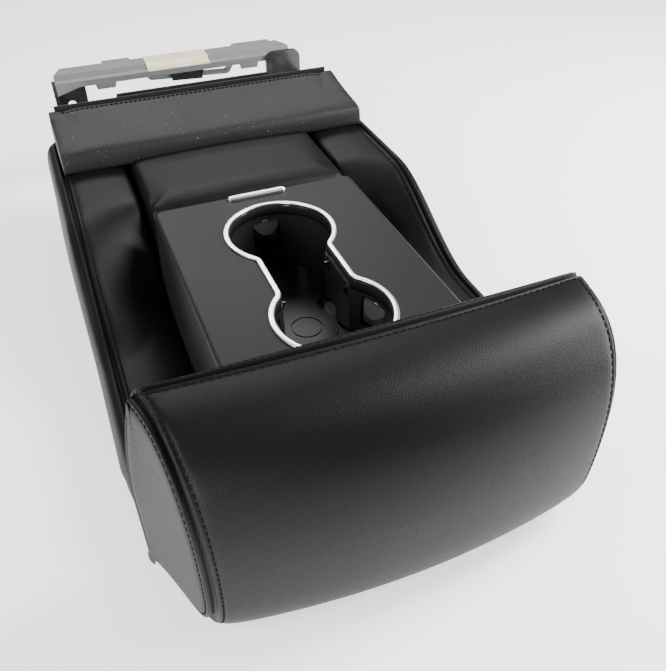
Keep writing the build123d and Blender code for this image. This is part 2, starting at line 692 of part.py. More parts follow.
# Hinge at each side: lug, bush and stop pin on the armrest; arm, bolt, washer and nut on the bracket
for side, sign in side_sign.items():
    inner = sign * LUG_X
    outer = sign * (LUG_X + LUG_T)
    arm_inner = sign * arm_x[side]
    arm_outer = arm_inner + sign * ARM_T
    pivot = (pivot_station, PIVOT_H)
    stop = (pivot_station + STOP_BACK, arm_under - GAP - STOP_R)

    with BuildPart() as lug:
        with BuildSketch(side_plane(inner)):
            Polygon(
                (lug_front, LUG_FOOT_LOW), (lug_front + LUG_FOOT_T, LUG_FOOT_LOW), (pivot_station, PIVOT_H - LUG_R),
                (pivot_station, PIVOT_H + LUG_R), (lug_front, PIVOT_H + LUG_R), align=None,
            )
            Polygon(
                (pivot_station, PIVOT_H - LUG_R), (stop[0], stop[1] - STOP_BOSS_R), (stop[0] + STOP_BOSS_R, stop[1]),
                (pivot_station + LUG_R, PIVOT_H), align=None,
            )
            with Locations(pivot):
                Circle(LUG_R)
            with Locations(stop):
                Circle(STOP_BOSS_R)
            with Locations(pivot):
                Circle(BUSH_R + RUN, mode=Mode.SUBTRACT)
        extrude(amount=sign * LUG_T)
    finish(lug, f"lug_{side}")

    with BuildPart() as bush:
        with BuildSketch(side_plane(inner)):
            with Locations(pivot):
                Circle(BUSH_R)
                Circle(BOLT_R + RUN, mode=Mode.SUBTRACT)
        extrude(amount=sign * LUG_T)
    finish(bush, f"pivot_bush_{side}")

    with BuildPart() as stop_pin:
        with BuildSketch(side_plane(outer)):
            with Locations(stop):
                Circle(STOP_R)
        extrude(amount=arm_outer - outer)
    finish(stop_pin, f"stop_pin_{side}")

    with BuildPart() as washer:
        with BuildSketch(side_plane(outer + sign * GAP)):
            with Locations(pivot):
                Circle(WASHER_R)
                Circle(BOLT_R + RUN, mode=Mode.SUBTRACT)
        extrude(amount=arm_inner - outer - sign * GAP)
    finish(washer, f"pivot_washer_{side}")

    with BuildPart() as bolt:
        with BuildSketch(side_plane(arm_outer)):
            with Locations(pivot):
                RegularPolygon(BOLT_HEAD_R, 6)
        extrude(amount=sign * BOLT_HEAD_T)
        with BuildSketch(side_plane(arm_outer)):
            with Locations(pivot):
                Circle(BOLT_R)
        extrude(amount=inner - arm_outer - sign * (GAP + NUT_T + BOLT_TIP))
    finish(bolt, f"pivot_bolt_{side}")

    with BuildPart() as nut:
        with BuildSketch(side_plane(inner - sign * GAP)):
            with Locations(pivot):
                RegularPolygon(NUT_R, 6)
                Circle(BOLT_R + RUN, mode=Mode.SUBTRACT)
        extrude(amount=-sign * NUT_T)
    finish(nut, f"pivot_nut_{side}")

    # Arm: cheek from the eye to the beam, with a foot turned in for the seat bolt
    with BuildPart() as arm:
        with BuildSketch(side_plane(arm_inner)):
            with Locations(pivot):
                Circle(ARM_EYE_R)
            with BuildLine():
                Polyline(
                    pivot, (pivot_station, arm_under), (foot_rear, arm_under), (foot_rear, ledge_under),
                    (beam_front, ledge_under), (beam_front, PIVOT_H + ARM_H / 2),
                    (pivot_station, PIVOT_H + ARM_H / 2), close=True,
                )
            make_face()
            with Locations(pivot):
                Circle(BOLT_R + RUN, mode=Mode.SUBTRACT)
        extrude(amount=sign * ARM_T)
        foot_middle = arm_inner - sign * (FOOT_W - ARM_T) / 2
        with BuildSketch(front_plane(foot_rear)):
            with Locations((foot_middle, arm_under + FOOT_H / 2)):
                Rectangle(FOOT_W + ARM_T, FOOT_H)
            with Locations((sign * SEAT_HOLE_SPACING / 2, SEAT_HOLE_H)):
                Circle(SEAT_HOLE_R, mode=Mode.SUBTRACT)
        extrude(amount=ARM_T)
        if side == "right":
            ear_middle = (EAR_INNER_X + arm_outer) / 2
            with BuildSketch(front_plane(beam_front)):
                with Locations((ear_middle, (arm_under + BEAM_H) / 2)):
                    ear = Rectangle(arm_outer - EAR_INNER_X, BEAM_H - arm_under)
                fillet(ear.vertices().group_by(Axis.Y)[-1], EAR_ROUND)
            extrude(amount=ARM_T)
    finish(arm, f"arm_{side}")

# Folded steel beam: lip with tabs at the front, ledge, sloping step, flange with a notched rear edge
half_beam = BEAM_W / 2
with BuildPart() as hinge_beam:
    with BuildSketch(side_plane(-half_beam)):
        with BuildLine():
            Polyline(
                (beam_front, ledge_h), (beam_front + LEDGE_D, ledge_h),
                (beam_front + LEDGE_D + SLOPE_D, BEAM_H), (beam_rear, BEAM_H), (beam_rear, BEAM_H - BEAM_T),
                (beam_front + LEDGE_D + SLOPE_D + BEAM_T / 2, BEAM_H - BEAM_T),
                (beam_front + LEDGE_D + BEAM_T / 2, ledge_under), (beam_front, ledge_under), close=True,
            )
        make_face()
    extrude(amount=BEAM_W)
    with BuildSketch(front_plane(beam_front + BEAM_T)):
        with BuildLine():
            lip = ledge_h - BEAM_T - LIP_DROP
            Polyline(
                (-half_beam, ledge_h), (half_beam, ledge_h), (half_beam, lip), (-half_beam + END_W, lip),
                (-half_beam, lip - END_DROP), close=True,
            )
        make_face()
        with Locations((-TAB_X, lip - (TAB_DROP - LIP_DROP) / 2), (TAB_X, lip - (TAB_DROP - LIP_DROP) / 2)):
            Trapezoid(TAB_W, TAB_DROP - LIP_DROP, 75, rotation=180)
    extrude(amount=BEAM_T)
    notch_edges = (-half_beam,) + LOBES[0] + LOBES[1] + (half_beam,)
    with BuildSketch(floor_plane(BEAM_H - BEAM_T)):
        for start, end in zip(notch_edges[0::2], notch_edges[1::2]):
            with Locations(((start + end) / 2, beam_rear - NOTCH_D / 2)):
                Rectangle(end - start, NOTCH_D)
        for sign in side_sign.values():
            with BuildLine():
                corner = (sign * half_beam, beam_rear - BEAM_CORNER_L)
                Polyline(
                    corner, (sign * (half_beam - BEAM_CORNER), beam_rear), (sign * half_beam, beam_rear), close=True,
                )
            make_face()
    extrude(amount=BEAM_T, mode=Mode.SUBTRACT)
finish(hinge_beam, "hinge_beam")

# Tape over the middle of the beam
with BuildPart() as foam_tape:
    with BuildSketch(side_plane(TAPE_LEFT)):
        slope_foot = (beam_front + LEDGE_D, ledge_h)
        slope_head = (beam_front + LEDGE_D + SLOPE_D, BEAM_H)
        with BuildLine():
            Polyline(
                (beam_front, ledge_h), slope_foot, slope_head, (beam_rear - NOTCH_D, BEAM_H),
                (beam_rear - NOTCH_D, BEAM_H + TAPE_T), (slope_head[0] - TAPE_T / 2, BEAM_H + TAPE_T),
                (slope_foot[0] - TAPE_T / 2, ledge_h + TAPE_T), (beam_front, ledge_h + TAPE_T), close=True,
            )
        make_face()
    extrude(amount=TAPE_RIGHT - TAPE_LEFT)
finish(foam_tape, "foam_tape")

# Bent strap that hangs in a loop under the beam
strap_station = beam_front + STRAP_SETBACK
strap_floor = (
    (STRAP_LEFT + STRAP_LEAN, ledge_under - STRAP_LOW_LEFT),
    (STRAP_RIGHT - STRAP_LEAN, ledge_under - STRAP_LOW_RIGHT),
)
with BuildPart() as strap_loop:
    with BuildSketch(front_plane(strap_station + STRAP_D)):
        with BuildLine():
            FilletPolyline(
                (STRAP_LEFT, ledge_under + STRAP_T), *strap_floor, (STRAP_RIGHT, ledge_under + STRAP_T),
                radius=STRAP_BEND,
            )
        trace(line_width=STRAP_T)
    extrude(amount=STRAP_D)
    with BuildSketch(floor_plane(ledge_under)):
        with Locations(((STRAP_LEFT + STRAP_RIGHT) / 2, strap_station + STRAP_D / 2)):
            Rectangle(2 * (STRAP_RIGHT - STRAP_LEFT), 2 * STRAP_D)
    extrude(amount=4 * STRAP_T, mode=Mode.SUBTRACT)
finish(strap_loop, "strap_loop")

# Black clip round the strap's floor, with small teeth on top
strap_run = Vector(*strap_floor[1]) - Vector(*strap_floor[0])
strap_slope = strap_run.Y / strap_run.X
clip_h = strap_floor[0][1] + strap_slope * (CLIP_X - strap_floor[0][0])
clip_plane = Plane(
    origin=(CLIP_X, at(strap_station + STRAP_D / 2), clip_h), x_dir=(1, 0, strap_slope), z_dir=(0, -1, 0)
)
with BuildPart() as strap_clip:
    with BuildSketch(clip_plane.offset(-STRAP_D / 2 - CLIP_T)):
        Rectangle(CLIP_L, STRAP_T + 2 * CLIP_T)
        with GridLocations(CLIP_L / 2, 0, 3, 1):
            with Locations((0, STRAP_T / 2 + CLIP_T + CLIP_TOOTH / 2)):
                Rectangle(CLIP_TOOTH, CLIP_TOOTH)
    extrude(amount=STRAP_D + 2 * CLIP_T)
    with BuildSketch(clip_plane.offset(-STRAP_D / 2 - GAP)):
        Rectangle(CLIP_L, STRAP_T + GAP)
    extrude(amount=STRAP_D + 2 * GAP, mode=Mode.SUBTRACT)
finish(strap_clip, "strap_clip")
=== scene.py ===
"""Dresses the rear seat armrest: sewn leather cushions, vinyl flap, cup holder and bracket finishes.

Metres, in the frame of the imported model: X across, +Y to the hinge, +Z up. Shapes are worked out in
millimetres by station (distance rearwards from the bolster's front) and height (above the floor).
"""

from math import cos, pi, radians, sin

import bpy
import numpy as np
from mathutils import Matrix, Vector


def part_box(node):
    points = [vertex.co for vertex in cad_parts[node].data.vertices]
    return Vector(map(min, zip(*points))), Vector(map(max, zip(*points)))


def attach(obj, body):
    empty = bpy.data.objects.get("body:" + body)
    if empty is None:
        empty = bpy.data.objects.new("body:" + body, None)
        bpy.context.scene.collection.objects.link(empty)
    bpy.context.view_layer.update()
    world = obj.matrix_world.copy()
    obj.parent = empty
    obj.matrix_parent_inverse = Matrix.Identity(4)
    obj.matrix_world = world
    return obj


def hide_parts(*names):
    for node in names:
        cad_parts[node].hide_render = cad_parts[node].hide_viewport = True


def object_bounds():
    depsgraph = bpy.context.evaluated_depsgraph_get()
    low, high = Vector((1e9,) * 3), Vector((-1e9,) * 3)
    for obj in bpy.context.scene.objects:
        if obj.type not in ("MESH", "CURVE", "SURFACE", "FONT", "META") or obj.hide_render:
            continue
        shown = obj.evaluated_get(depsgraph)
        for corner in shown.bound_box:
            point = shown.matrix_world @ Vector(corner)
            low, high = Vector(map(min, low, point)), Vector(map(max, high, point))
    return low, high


bl_info = {
    "name": "Rear Seat Armrest",
    "version": (1, 0, 0),
    "blender": (4, 5, 0),
    "location": "View3D > Sidebar > Armrest",
    "description": "Builds the soft pieces, seams and finishes of a folding rear seat armrest",
    "category": "Object",
}

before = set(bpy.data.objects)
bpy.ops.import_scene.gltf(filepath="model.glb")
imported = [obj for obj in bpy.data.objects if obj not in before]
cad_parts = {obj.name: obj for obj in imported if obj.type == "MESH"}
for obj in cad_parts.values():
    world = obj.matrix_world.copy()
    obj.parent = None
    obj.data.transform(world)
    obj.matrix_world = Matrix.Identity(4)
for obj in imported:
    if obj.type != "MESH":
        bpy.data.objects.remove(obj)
CAD_BOX = [list(corner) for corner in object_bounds()]
FRONT = CAD_BOX[0][1]
MM = 0.001


def node_mm(name):
    """A node's box in millimetres: lowest and highest (x, station, height)."""
    low, high = (np.array(corner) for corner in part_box(name))
    shift = np.array([0, FRONT, 0])
    return (low - shift) / MM, (high - shift) / MM


BOLSTER_HIGH = node_mm("bolster")[1]
PAD_LOW, PAD_HIGH = node_mm("underside_pad")
WING_LOW_BOX, WING_HIGH_BOX = node_mm("wing_right")
REAR_LOW, REAR_HIGH = node_mm("rear_pad")
FLAP_LOW, FLAP_HIGH = node_mm("closeout_flap")


# Sizes and colours that a user would change


class ArmrestSizes(bpy.types.PropertyGroup):
    """Sizes of the sewn and padded details, in millimetres."""

    seam_depth: bpy.props.FloatProperty(
        name="Seam depth", description="How deep a seam pulls the leather in", default=3.4
    )
    stitch_pitch: bpy.props.FloatProperty(
        name="Stitch pitch", description="From one stitch to the next", default=4.6
    )
    stitch_length: bpy.props.FloatProperty(
        name="Stitch length", description="Thread that shows of a stitch", default=3.3
    )
    thread: bpy.props.FloatProperty(
        name="Thread", description="Thickness of the thread", default=1.1
    )
    swell: bpy.props.FloatProperty(
        name="Swell", description="Furthest a cushion may swell", default=5.0
    )
    pressure: bpy.props.FloatProperty(
        name="Pressure", description="Cloth pressure in the cushions", default=4.0
    )


class ArmrestColours(bpy.types.PropertyGroup):
    """Base colours of the finishes."""

    leather: bpy.props.FloatVectorProperty(
        name="Leather", description="Black leather", subtype="COLOR",
        default=(0.0042, 0.0042, 0.0045), min=0, max=1
    )
    vinyl: bpy.props.FloatVectorProperty(
        name="Vinyl", description="Flap behind the rear pad", subtype="COLOR",
        default=(0.0105, 0.0106, 0.0114), min=0, max=1
    )
    plate: bpy.props.FloatVectorProperty(
        name="Plate", description="Cup holder box", subtype="COLOR",
        default=(0.0075, 0.0075, 0.0081), min=0, max=1
    )
    trim: bpy.props.FloatVectorProperty(
        name="Trim", description="Bright ring and bar", subtype="COLOR",
        default=(0.88, 0.87, 0.83), min=0, max=1
    )
    steel: bpy.props.FloatVectorProperty(
        name="Steel", description="Hinge beam", subtype="COLOR",
        default=(0.2, 0.2, 0.2), min=0, max=1
    )
    tape: bpy.props.FloatVectorProperty(
        name="Tape", description="Cream tape on the beam", subtype="COLOR",
        default=(0.72, 0.66, 0.5), min=0, max=1
    )


def sizes():
    return bpy.context.scene.armrest_sizes


def colours():
    return bpy.context.scene.armrest_colours


# Shader values and materials


class Value:
    """A shader number: arithmetic on it adds Math nodes."""

    def __init__(self, finish, socket):
        self.finish = finish
        self.socket = socket

    def _math(self, operation, first, second):
        made = self.finish.node("ShaderNodeMath", {"operation": operation}, {0: first, 1: second})
        return Value(self.finish, made.outputs[0])

    def __add__(self, other):
        return self._math("ADD", self, other)

    __radd__ = __add__

    def __sub__(self, other):
        return self._math("SUBTRACT", self, other)

    def __mul__(self, other):
        return self._math("MULTIPLY", self, other)

    __rmul__ = __mul__

    def clipped(self):
        made = self.finish.node("ShaderNodeClamp", {}, {"Value": self})
        return Value(self.finish, made.outputs[0])


class Finish:
    """One procedural material: a Principled shader and the nodes that feed it."""

    def __init__(self, name):
        self.material = bpy.data.materials.new(name)
        self.material.use_nodes = True
        self.tree = self.material.node_tree
        self.tree.nodes.clear()
        self.shader = self.node("ShaderNodeBsdfPrincipled")
        self.node("ShaderNodeOutputMaterial", {}, {"Surface": self.shader.outputs[0]})
        self.place = self.node("ShaderNodeTexCoord").outputs["Object"]

    def node(self, kind, settings=None, inputs=None):
        """Adds a node: its settings first, then the values or links of its sockets."""
        made = self.tree.nodes.new(kind)
        for key, value in (settings or {}).items():
            setattr(made, key, value)
        for key, value in (inputs or {}).items():
            self.feed(made.inputs[key], value)
        return made

    def feed(self, socket, value):
        """Links a value or socket, or sets a plain number or colour."""
        if isinstance(value, Value):
            value = value.socket
        if isinstance(value, bpy.types.NodeSocket):
            self.tree.links.new(value, socket)
        elif hasattr(socket.default_value, "__len__") and len(socket.default_value) == 4 and len(value) == 3:
            socket.default_value = (*value, 1)
        else:
            socket.default_value = value

    def noise(self, scale, detail):
        """Noise of that many grains per metre."""
        inputs = {"Vector": self.place, "Scale": scale, "Detail": detail}
        return Value(self, self.node("ShaderNodeTexNoise", {}, inputs).outputs[0])

    def cells(self, scale, feature="DISTANCE_TO_EDGE"):
        """Pebbled cells, as many per metre: the distance to the edge of a cell, or to its middle."""
        inputs = {"Vector": self.place, "Scale": scale}
        made = self.node("ShaderNodeTexVoronoi", {"feature": feature}, inputs)
        return Value(self, made.outputs["Distance"])

    def ramp(self, value, low, high):
        """0 below low, 1 above high."""
        inputs = {"Value": value, "From Min": low, "From Max": high}
        return Value(self, self.node("ShaderNodeMapRange", {}, inputs).outputs[0])

    def mix(self, share, first, second):
        """Colour between two others."""
        made = self.node("ShaderNodeMix", {"data_type": "RGBA"}, {0: share, 6: first, 7: second})
        return made.outputs[2]

    def bump(self, height, depth, strength):
        """Feeds a height, of that depth in metres, to the shader's normal."""
        inputs = {"Height": height, "Distance": depth, "Strength": strength}
        self.set(Normal=self.node("ShaderNodeBump", {}, inputs).outputs[0])

    def set(self, **inputs):
        for key, value in inputs.items():
            self.feed(self.shader.inputs[key.replace("_", " ")], value)


def shade(colour, factor):
    """A colour made darker or lighter."""
    return tuple(min(part * factor, 1.0) for part in colour)


def leather_finish():
    """Black leather: pebbled grain with fine pores, slow changes in colour and gloss."""
    finish = Finish("black_leather")
    grain = finish.ramp(finish.cells(700), 0.0, 0.22)
    pores = finish.noise(2600, 2.0)
    slow = finish.noise(9, 3.0)
    base = colours().leather
    worn = finish.mix(slow, shade(base, 0.75), shade(base, 1.35))
    finish.set(Base_Color=finish.mix(grain, shade(base, 0.55), worn))
    finish.set(Roughness=(0.43 + 0.1 * slow - 0.06 * grain).clipped(), Specular_IOR_Level=0.14)
    finish.bump(grain + 0.35 * pores, 0.00018, 0.32)
    return finish.material


def vinyl_finish():
    """Dark grey vinyl: fine emboss with a few pale specks of dust."""
    finish = Finish("flap_vinyl")
    emboss = finish.ramp(finish.cells(750), 0.0, 0.25)
    slow = finish.noise(12, 3.0)
    speck = finish.ramp(finish.noise(900, 1.0), 0.77, 0.79)
    base = colours().vinyl
    tone = finish.mix(slow, shade(base, 0.8), shade(base, 1.25))
    finish.set(Base_Color=finish.mix(speck, tone, (0.5, 0.5, 0.5)))
    finish.set(Roughness=(0.42 + 0.16 * slow).clipped(), Specular_IOR_Level=0.2)
    finish.bump(emboss, 0.00012, 0.5)
    return finish.material


def moulded_finish(name, base, rough, grain, depth):
    """Moulded plastic or rubber: an even grain and a slow change in gloss."""
    finish = Finish(name)
    fine = finish.noise(grain, 2.0)
    slow = finish.noise(15, 2.0)
    finish.set(Base_Color=finish.mix(slow, shade(base, 0.85), shade(base, 1.18)))
    finish.set(Roughness=(rough - 0.05 + 0.1 * slow).clipped(), Specular_IOR_Level=0.22)
    finish.bump(fine, depth, 0.4)
    return finish.material


def trim_finish():
    """Satin bright trim with faint wipe marks."""
    finish = Finish("satin_trim")
    marks = finish.noise(260, 4.0)
    base = colours().trim
    finish.set(Base_Color=finish.mix(marks, shade(base, 0.94), base), Metallic=1.0)
    finish.set(Roughness=(0.24 + 0.1 * marks).clipped())
    return finish.material


def sheet_steel_finish(name, base, rough, metallic):
    """Rolled or plated sheet: streaks along X, small stains, uneven gloss."""
    finish = Finish(name)
    stretched = {"Vector": finish.place, "Scale": (12.0, 160.0, 160.0)}
    mapping = finish.node("ShaderNodeMapping", {}, stretched)
    grain = finish.node("ShaderNodeTexNoise", {}, {"Vector": mapping.outputs[0], "Scale": 6.0})
    streaks = Value(finish, grain.outputs[0])
    stains = finish.ramp(finish.noise(90, 4.0), 0.56, 0.72)
    tone = finish.mix(streaks, shade(base, 0.82), shade(base, 1.12))
    finish.set(Base_Color=finish.mix(0.35 * stains, tone, shade(base, 0.5)), Metallic=metallic)
    finish.set(Roughness=(rough + 0.14 * streaks + 0.1 * stains).clipped())
    finish.bump(streaks, 0.00006, 0.3)
    return finish.material


def paint_finish():
    """Glossy black paint on steel with orange peel."""
    finish = Finish("black_paint")
    peel = finish.noise(380, 1.0)
    dust = finish.noise(60, 3.0)
    finish.set(Base_Color=finish.mix(dust, (0.008, 0.008, 0.009), (0.022, 0.022, 0.023)))
    finish.set(Roughness=(0.2 + 0.14 * dust).clipped(), Coat_Weight=0.3)
    finish.bump(peel, 0.00005, 0.4)
    return finish.material


def tape_finish():
    """Cream cloth tape: a fine weave, yellowed and dirty in places."""
    finish = Finish("cream_tape")
    weave = finish.cells(1100, "F1")
    dirt = finish.ramp(finish.noise(70, 4.0), 0.45, 0.75)
    base = colours().tape
    yellow = (base[0] * 0.85, base[1] * 0.72, base[2] * 0.42)
    finish.set(Base_Color=finish.mix(dirt, base, yellow))
    finish.set(Roughness=(0.75 + 0.15 * dirt).clipped())
    finish.bump(weave, 0.0002, 0.5)
    return finish.material


def thread_finish():
    """Twisted black thread: ridges across each stitch."""
    finish = Finish("black_thread")
    twist = finish.noise(1900, 1.0)
    finish.set(Base_Color=finish.mix(twist, (0.002, 0.002, 0.002), (0.006, 0.006, 0.006)))
    finish.set(Roughness=(0.6 + 0.2 * twist).clipped(), Specular_IOR_Level=0.08)
    finish.bump(twist, 0.0002, 0.6)
    return finish.material


FINISHES = {
    "leather": leather_finish,
    "vinyl": vinyl_finish,
    "thread": thread_finish,
    "plate": lambda: moulded_finish("plate_plastic", colours().plate, 0.5, 1500, 0.00012),
    "bin": lambda: moulded_finish("bin_plastic", (0.012, 0.012, 0.013), 0.14, 600, 0.00002),
    "grip": lambda: moulded_finish("grip_rubber", (0.03, 0.03, 0.03), 0.42, 1300, 0.00008),
    "mat": lambda: moulded_finish("mat_rubber", (0.009, 0.009, 0.009), 0.36, 1600, 0.0001),
    "black": lambda: moulded_finish("black_plastic", (0.014, 0.014, 0.014), 0.4, 1200, 0.00006),
    "trim": trim_finish,
    "beam": lambda: sheet_steel_finish("beam_steel", colours().steel, 0.42, 0.55),
    "zinc": lambda: sheet_steel_finish("zinc_steel", (0.6, 0.6, 0.61), 0.3, 1.0),
    "bush": lambda: sheet_steel_finish("bush_brass", (0.62, 0.45, 0.2), 0.32, 1.0),
    "paint": paint_finish,
    "tape": tape_finish,
}


def finish_of(key):
    """The material of that key, made the first time it is asked for."""
    made = bpy.context.scene.get("armrest_finishes", {})
    if key in made and made[key] in bpy.data.materials:
        return bpy.data.materials[made[key]]
    material = FINISHES[key]()
    made = dict(made)
    made[key] = material.name
    bpy.context.scene["armrest_finishes"] = made
    return material


# Surfaces


def to_metres(points):
    """Points given as x, station, height in millimetres, as metres in the frame."""
    return np.asarray(points, float) * MM + np.array([0, FRONT, 0])


CLOSE = (0, 0.8, 1.6, 2.8, 3.9, 5.0, 6.2, 8.5)  # distances of the fine rows from a seam, in millimetres
STITCH_ROW = 5  # which of them carries the stitches
SEWN = 9.0  # leather this near a seam is held by it
FAR = 99.0  # stands for a place with no seam near it


def spaced(length, step, seams=(), close=CLOSE):
    """Positions from 0 to length about step apart, with close pairs on both sides of each seam."""
    even = np.linspace(0, length, max(int(round(length / step)), 2) + 1)
    both_sides = np.concatenate([-np.array(close[::-1]), close[1:]])
    around = np.concatenate([seam + both_sides for seam in seams] or [[]])
    far = np.ones(len(even), bool)
    for seam in seams:
        far &= abs(even - seam) > close[-1] + step * 0.6
    far[[0, -1]] = True
    around = around[(around > 0.4) & (around < length - 0.4)]
    return np.unique(np.concatenate([even[far], around]))


def along(path, positions):
    """Points at those arc lengths along a polyline."""
    steps = np.linalg.norm(np.diff(path, axis=0), axis=1)
    run = np.concatenate([[0], np.cumsum(steps)])
    return np.stack([np.interp(positions, run, path[:, axis]) for axis in range(path.shape[1])], axis=1)


def path_length(path):
    return np.linalg.norm(np.diff(path, axis=0), axis=1).sum()


def bezier(*points, count=24):
    """Points on a Bezier curve: the control points weighted by the Bernstein polynomials."""
    t = np.linspace(0, 1, count)[:, None]
    points = [np.array(point, float) for point in points]
    while len(points) > 1:
        points = [a * (1 - t) + b * t for a, b in zip(points, points[1:])]
    return points[0]


def end_rings(ring, step, count, rise):
    """Rings that fill a loop's end: the first lies step inside it, the others in equal shares to its middle.

    Each point goes straight to the middle, and the panel rises by the vector rise as a flat dome.
    """
    to_middle = ring.mean(axis=0) - ring
    first = step / np.linalg.norm(to_middle, axis=1, keepdims=True)
    made = []
    for part in range(count):
        share = first + (1 - first) * part / count
        dome = 1 - (1 - share) ** 2
        made.append(ring + to_middle * share + np.array(rise) * dome)
    return np.array(made)


def with_ends(rings, step, count, rise=(0, 0, 0)):
    """Rings with both ends filled. The rise is that of the last end, and the first has its opposite."""
    first = end_rings(rings[0], step, count, -np.array(rise))
    last = end_rings(rings[-1], step, count, rise)
    return np.concatenate([first[::-1], rings, last])


def section_rings(stations, sections):
    """Rings from cross sections: each pair gives x and height of one point of the loop at every station."""
    x = np.stack([section[0] for section in sections], 1)
    height = np.stack([section[1] for section in sections], 1)
    return np.stack([x, np.broadcast_to(stations[:, None], x.shape), height], -1)


def grid_quads(rings, loop, joined=False):
    """Quads between rings of a closed loop. If joined, the last ring also meets the first."""
    ring, point = np.meshgrid(np.arange(rings if joined else rings - 1), np.arange(loop), indexing="ij")
    after, over = (point + 1) % loop, (ring + 1) % rings
    corners = (ring * loop + point, ring * loop + after, over * loop + after, over * loop + point)
    return np.stack(corners, -1).reshape(-1, 4)


def end_fans(rings, loop):
    """Triangles from the middle of each end, the two points after the grid's, to the first and last ring."""
    start, end = rings * loop, rings * loop + 1
    index = np.arange(loop)
    after = (index + 1) % loop
    last_ring = (rings - 1) * loop
    first = np.stack([np.full(loop, start), after, index], -1)
    last = np.stack([np.full(loop, end), last_ring + index, last_ring + after], -1)
    return np.concatenate([first, last])


def volume_sign(points, quads):
    """Sign of the volume inside the quads, from the sum of the tetrahedra to the origin."""
    a, b, c, d = (points[quads[:, corner]] for corner in range(4))
    return np.sign((np.cross(b, c) * a).sum() + (np.cross(c, d) * a).sum())


def put_mesh(name, points, faces, finish, smooth=True):
    """A new object from points and faces, at the origin."""
    mesh = bpy.data.meshes.new(name)
    mesh.from_pydata(points.tolist(), [], faces)
    mesh.polygons.foreach_set("use_smooth", np.full(len(mesh.polygons), smooth))
    mesh.materials.append(finish_of(finish))
    mesh.update()
    made = bpy.data.objects.new(name, mesh)
    bpy.context.scene.collection.objects.link(made)
    return made


def coordinates(holder, count):
    flat = np.empty(count * 3, np.float32)
    holder.foreach_get("co", flat)
    return flat.reshape(-1, 3).astype(float)


def swell(piece, pins, cap, pressure):
    """Lets a leather skin swell under pressure with its sewn and backed points held.

    No point ends further than cap from where it began, and the result is kept in the mesh.
    """
    mesh = piece.data
    start = coordinates(mesh.vertices, len(mesh.vertices))
    sewn = piece.vertex_groups.new(name="sewn")
    sewn.add([int(pin) for pin in pins], 1.0, "REPLACE")
    cloth = piece.modifiers.new("swell", "CLOTH")
    cloth.settings.use_pressure = True
    cloth.settings.uniform_pressure_force = pressure
    cloth.settings.effector_weights.gravity = 0
    cloth.settings.vertex_group_mass = "sewn"
    cloth.settings.tension_stiffness = 20
    cloth.settings.compression_stiffness = 20
    cloth.settings.bending_stiffness = 1.5
    cloth.settings.mass = 0.4
    cloth.point_cache.frame_start = 1
    cloth.point_cache.frame_end = 20
    for number in range(1, 21):
        bpy.context.scene.frame_set(number)
    shaped = piece.evaluated_get(bpy.context.evaluated_depsgraph_get()).data
    end = coordinates(shaped.vertices, len(mesh.vertices))
    piece.modifiers.remove(cloth)
    piece.vertex_groups.remove(sewn)
    bpy.context.scene.frame_set(1)
    move = np.nan_to_num(end - start)
    length = np.linalg.norm(move, axis=1, keepdims=True)
    move *= np.minimum(1, cap * MM / np.maximum(length, 1e-9))
    mesh.vertices.foreach_set("co", (start + move).astype(np.float32).ravel())
    mesh.update()


def point_normals(mesh):
    flat = np.empty(len(mesh.vertices) * 3, np.float32)
    mesh.vertex_normals.foreach_get("vector", flat)
    return flat.reshape(-1, 3).astype(float)


def cushion(name, rings, pins, groove, finish="leather", cap=None):
    """A padded piece from closed rings: swollen by cloth simulation, then its seams are drawn in.

    rings is rings x loop x 3 in metres, pins and groove are rings x loop: held points, and the depth in
    metres by which a point is drawn in along its normal. Returns the points and normals on the grid too.
    """
    count, loop = rings.shape[:2]
    points = np.concatenate([rings.reshape(-1, 3), rings[:1].mean(axis=1), rings[-1:].mean(axis=1)])
    quads, fans = grid_quads(count, loop), end_fans(count, loop)
    if volume_sign(points, quads) < 0:
        quads, fans = quads[:, ::-1], fans[:, ::-1]
    piece = put_mesh(name, points, quads.tolist() + fans.tolist(), finish)
    held = np.flatnonzero(np.concatenate([pins.ravel(), [False, False]]))
    swell(piece, held, sizes().swell if cap is None else cap, sizes().pressure)
    mesh = piece.data
    points = coordinates(mesh.vertices, len(mesh.vertices))
    normals = point_normals(mesh)
    points[: count * loop] -= normals[: count * loop] * groove.reshape(-1, 1)
    mesh.vertices.foreach_set("co", points.astype(np.float32).ravel())
    mesh.update()
    smooth = piece.modifiers.new("smooth", "SUBSURF")
    smooth.levels = smooth.render_levels = 1
    grid = points[: count * loop].reshape(count, loop, 3)
    return piece, grid, normals[: count * loop].reshape(count, loop, 3)


def seam_dip(distance):
    """How far the leather is drawn in, in metres, at a distance in millimetres from a seam.

    Three bell curves: a narrow valley, a raised band beside it and a dent under each row of stitches.
    """
    depth = sizes().seam_depth
    band_at = 3.0
    valley = depth * np.exp(-((distance / 1.5) ** 2))
    band = 0.2 * depth * np.exp(-(((distance - band_at) / 1.2) ** 2))
    dent = 0.27 * depth * np.exp(-(((distance - CLOSE[STITCH_ROW]) / 1.1) ** 2))
    return (valley - band + dent) * MM


